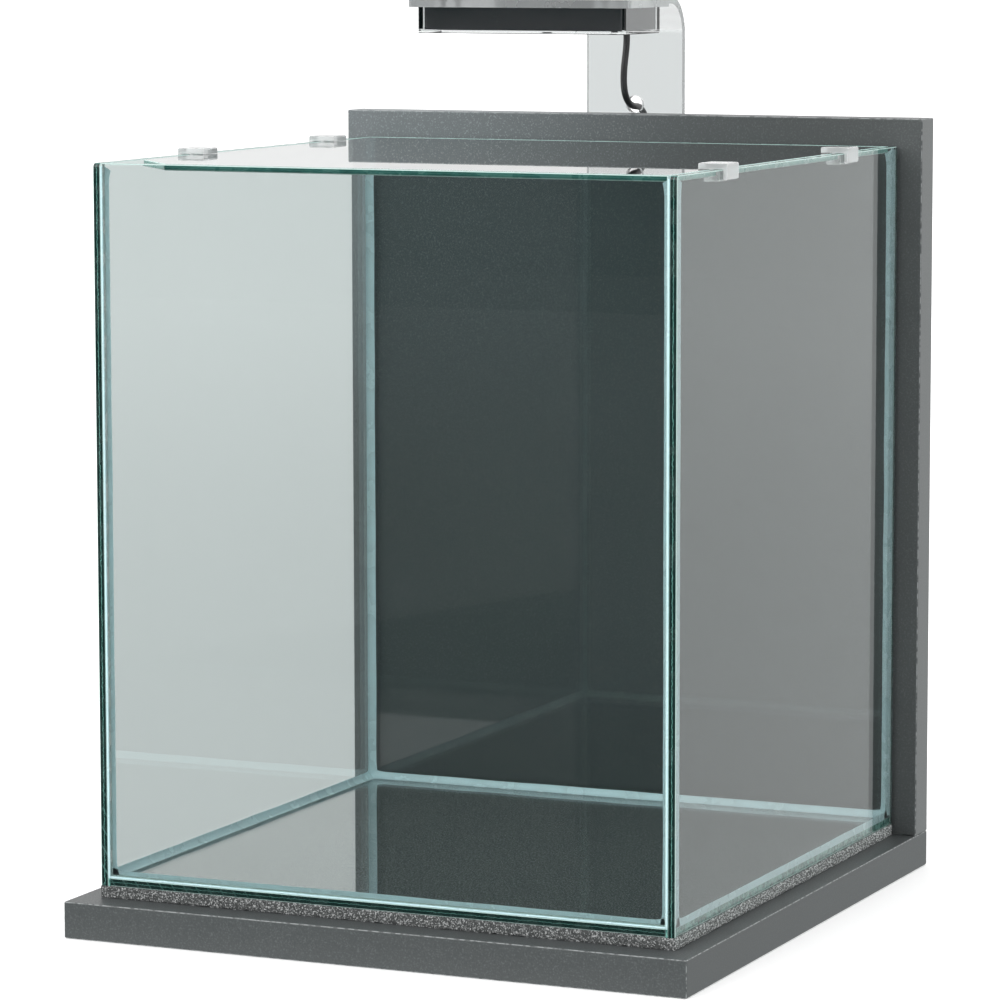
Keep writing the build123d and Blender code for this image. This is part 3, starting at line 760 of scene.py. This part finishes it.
# ---- foam mat: cut edges with open grains ----
mat_step = 0.8 * mm
mat_rows = 9
mat_rough = 0.45 * mm
mat_lumps = ((1.3 * mm, 1.0, 3.0), (3.1 * mm, 0.7, 9.0))    # size, share and seed
mat_corner = 0.35 * mm
mat_lift = 0.6 * mm
mat_lift_lump = (2.0 * mm, 5.0)         # size and seed
mat_top_gap = 0.05 * mm
mat_border = 4 * mm
foam_dark = (0.065, 0.07, 0.07)
foam_light = (0.42, 0.43, 0.43)
foam_pore = (0.05, 0.053, 0.053)
foam_painted_light = (0.66, 0.70, 0.69)
foam_drawn = (1.0, 0.5, 1.0)
pore_share = 0.7


def foam_material():
    """Open grey foam, its grains lightened by painted light on its top and on its sides that face +X."""
    foam = Shader("foam", roughness=0.9)
    grain = foam.noise(0.75 * mm, detail=1.0, roughness=0.6, stretch=foam_drawn)
    light = foam.between(grain, 0.50, 0.58)
    dark = foam.between(foam.cells(1.1 * mm, stretch=foam_drawn), 0.44, 0.54)
    ground = foam.mix(light, foam_dark, foam_light)
    ground = foam.mix(foam.times(dark, pore_share), ground, foam_pore)
    normal = foam.axes("Normal")
    # Painted light: the top and the sides that face +X are lighter, as if lit.
    painted_light = foam.largest(foam.between(normal[0], 0.3, 0.8, 0.0, 0.42),
                          foam.between(normal[2], 0.5, 0.9, 0.0, 0.30))
    painted_light = foam.times(painted_light, foam.between(light, 0.0, 1.0, 0.25, 1.5))
    foam.drive("Base Color", foam.mix(painted_light, ground, foam_painted_light))
    foam.bump(grain, 0.35 * mm)
    return foam.material


def mat_outline(low, high):
    """Places round the mat's outline, each with the way out of it: (x, y, out_x, out_y)."""
    across = round((high.x - low.x) / mat_step)
    deep = round((high.y - low.y) / mat_step)
    corners = [(low.x, low.y), (high.x, low.y), (high.x, high.y), (low.x, high.y)]
    ways_out = [(0.0, -1.0), (1.0, 0.0), (0.0, 1.0), (-1.0, 0.0)]
    outline = []
    for side, count in enumerate((across, deep, across, deep)):
        start, end = corners[side], corners[(side + 1) % 4]
        for k in range(count):
            outline.append((start[0] + (end[0] - start[0]) * k / count,
                            start[1] + (end[1] - start[1]) * k / count, *ways_out[side]))
    return outline


def make_mat():
    """A closed mat: four rough cut walls, a border on top and below, and a flat middle."""
    low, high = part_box("foam_mat")
    bottom, top = low.z + glass_clear, high.z - mat_top_gap
    outline = mat_outline(low, high)
    middle = (low + high) / 2
    half = (high - low) / 2

    def drawn_in(height):
        return [(middle.x + (x - middle.x) * (1 - mat_border / half.x),
                 middle.y + (y - middle.y) * (1 - mat_border / half.y), height)
                for x, y, _, _ in outline]

    points = drawn_in(bottom)
    for row in range(mat_rows):
        z = bottom + (top - bottom) * (row / (mat_rows - 1))
        for x, y, out_x, out_y in outline:
            push = sum(mat_rough * share * wander((x, y, z), size, seed) for size, share, seed in mat_lumps)
            if row in (0, mat_rows - 1):
                push -= mat_corner
            lift = mat_lift * max(0.0, wander((x, y, z), *mat_lift_lump)) if row == 0 else 0.0
            points.append((x + out_x * push, y + out_y * push, z + lift))
    points += drawn_in(top)
    faces = tube_faces(mat_rows + 2, len(outline))
    mat = new_piece("foam_sheet", points, faces, "root", foam_material())
    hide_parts("foam_mat")
    return mat


make_mat()

# ---- studio: floor, backdrop with painted shade round the object, dark sheets in front glowing as a painted reflection, and a world with one soft bright side ----
floor_size = 60.0
white_floor_z = -0.2 * mm
backdrop_z = -0.4 * mm
card_z = 0.3 * mm
card_near = -0.19           # the dark card's near and far edges along Y
card_far = -3.6
card_margin = 0.14
wall_height = 1.0
bright_side = (-0.50, -0.80, 0.33)
bright_spread = 0.72        # cosine of the angle at which the bright side fades out
bright_strength = 1.5
floor_glow = 0.24
level_light = 0.92
overhead_light = 1.35
# Painted shade: the paper is darker round the object than further away.
near_paper = (0.58, 0.60, 0.60)
far_paper = (0.70, 0.72, 0.72)
paper_reach = (0.3, 4.0)    # distances over which the paper goes from near to far


def only_for(piece, *rays):
    """Leaves a stage piece visible to these kinds of rays alone."""
    for ray in ("camera", "diffuse", "glossy", "transmission", "volume_scatter", "shadow"):
        setattr(piece, f"visible_{ray}", ray in rays)


def sheet_of(name, corners, material):
    """One flat face on no body."""
    return new_piece(name, corners, [tuple(range(len(corners)))], None, material)


def square(height):
    """The corners of a floor-sized square at a height."""
    half = floor_size / 2
    return [(-half, -half, height), (half, -half, height), (half, half, height), (-half, half, height)]


def floor_material():
    """White floor paper, a little brighter than the light on it."""
    floor = Shader("floor", roughness=0.9, base_color=(0.95, 0.95, 0.95))
    floor.set(emission_color=(1.0, 1.0, 1.0), emission_strength=floor_glow)
    floor.material.cycles.emission_sampling = "NONE"
    return floor.material


def backdrop_material():
    """Pale grey paper that gives its own light, with painted shade round the object: darker near it than
    further away.
    """
    paper = Shader("backdrop", roughness=0.9, base_color=(0.04, 0.04, 0.04), emission_strength=1.0)
    length = paper.tree.nodes.new("ShaderNodeVectorMath")
    length.operation = "LENGTH"
    paper.tree.links.new(paper.coordinates.outputs["Object"], length.inputs[0])
    reach = paper.between(length.outputs["Value"], *paper_reach)
    paper.drive("Emission Color", paper.mix(reach, near_paper, far_paper))
    paper.material.cycles.emission_sampling = "NONE"
    return paper.material


def reflection_sheet_material():
    """Dark sheet with a faint even teal glow, a painted reflection for the tank's front to mirror."""
    reflection_sheet = Shader("painted_reflection_sheet", base_color=(0.005, 0.006, 0.006), roughness=0.9)
    # The teal glow is a painted reflection.
    reflection_sheet.set(emission_color=(0.040, 0.082, 0.086), emission_strength=1.0)
    reflection_sheet.material.cycles.emission_sampling = "NONE"
    return reflection_sheet.material


def mirrored_x(pane_at, y):
    """Where the camera's line to a place on the front pane, mirrored in the pane, passes over y."""
    eye_y = 2 * tank_front - camera_place[1]
    return camera_place[0] + (pane_at - camera_place[0]) * (y - eye_y) / (tank_front - eye_y)


def make_studio():
    """White floor for the camera, paper for everything else, and dark sheets in front of the tank, glowing
    as a painted reflection.
    """
    floor = sheet_of("floor", square(white_floor_z), floor_material())
    only_for(floor, "camera")
    backdrop = sheet_of("backdrop", square(backdrop_z), backdrop_material())
    only_for(backdrop, "diffuse", "glossy", "transmission")
    dark = reflection_sheet_material()
    left, right = cad_low.x - card_margin, cad_high.x + card_margin
    near_left, near_right = mirrored_x(left, card_near), mirrored_x(right, card_near)
    far_left, far_right = mirrored_x(left, card_far), mirrored_x(right, card_far)
    card = sheet_of("dark_card", [(near_left, card_near, card_z), (far_left, card_far, card_z),
                                  (far_right, card_far, card_z), (near_right, card_near, card_z)], dark)
    wall = sheet_of("dark_wall", [(far_left, card_far, 0.0), (far_right, card_far, 0.0),
                                  (far_right, card_far, wall_height), (far_left, card_far, wall_height)],
                    dark)
    only_for(card, "glossy", "transmission")
    only_for(wall, "glossy", "transmission")


def make_world():
    """Soft light all round, brighter overhead and on one side, and plain white for the camera."""
    world = bpy.data.worlds.new("studio")
    world.use_nodes = True
    tree = world.node_tree
    where = tree.nodes.new("ShaderNodeTexCoord")
    split = tree.nodes.new("ShaderNodeSeparateXYZ")
    ramp = tree.nodes.new("ShaderNodeMapRange")
    toward = tree.nodes.new("ShaderNodeVectorMath")
    lobe = tree.nodes.new("ShaderNodeMapRange")
    total = tree.nodes.new("ShaderNodeMath")
    rays = tree.nodes.new("ShaderNodeLightPath")
    choice = tree.nodes.new("ShaderNodeMix")
    tree.links.new(where.outputs["Generated"], split.inputs["Vector"])
    tree.links.new(split.outputs["Z"], ramp.inputs["Value"])
    ramp.inputs["To Min"].default_value = level_light
    ramp.inputs["To Max"].default_value = overhead_light
    toward.operation = "DOT_PRODUCT"
    toward.inputs[1].default_value = Vector(bright_side).normalized()
    lobe.interpolation_type = "SMOOTHSTEP"
    lobe.inputs["From Min"].default_value = bright_spread
    lobe.inputs["To Max"].default_value = bright_strength
    tree.links.new(where.outputs["Generated"], toward.inputs[0])
    tree.links.new(toward.outputs["Value"], lobe.inputs["Value"])
    tree.links.new(ramp.outputs["Result"], total.inputs[0])
    tree.links.new(lobe.outputs["Result"], total.inputs[1])
    tree.links.new(rays.outputs["Is Camera Ray"], choice.inputs["Factor"])
    tree.links.new(total.outputs["Value"], choice.inputs["A"])
    choice.inputs["B"].default_value = 1.0
    tree.links.new(choice.outputs["Result"], tree.nodes["Background"].inputs["Strength"])
    tree.nodes["Background"].inputs["Color"].default_value = (1.0, 1.0, 1.0, 1.0)
    bpy.context.scene.world = world


make_studio()
make_world()
bpy.context.scene.view_settings.view_transform = "Standard"
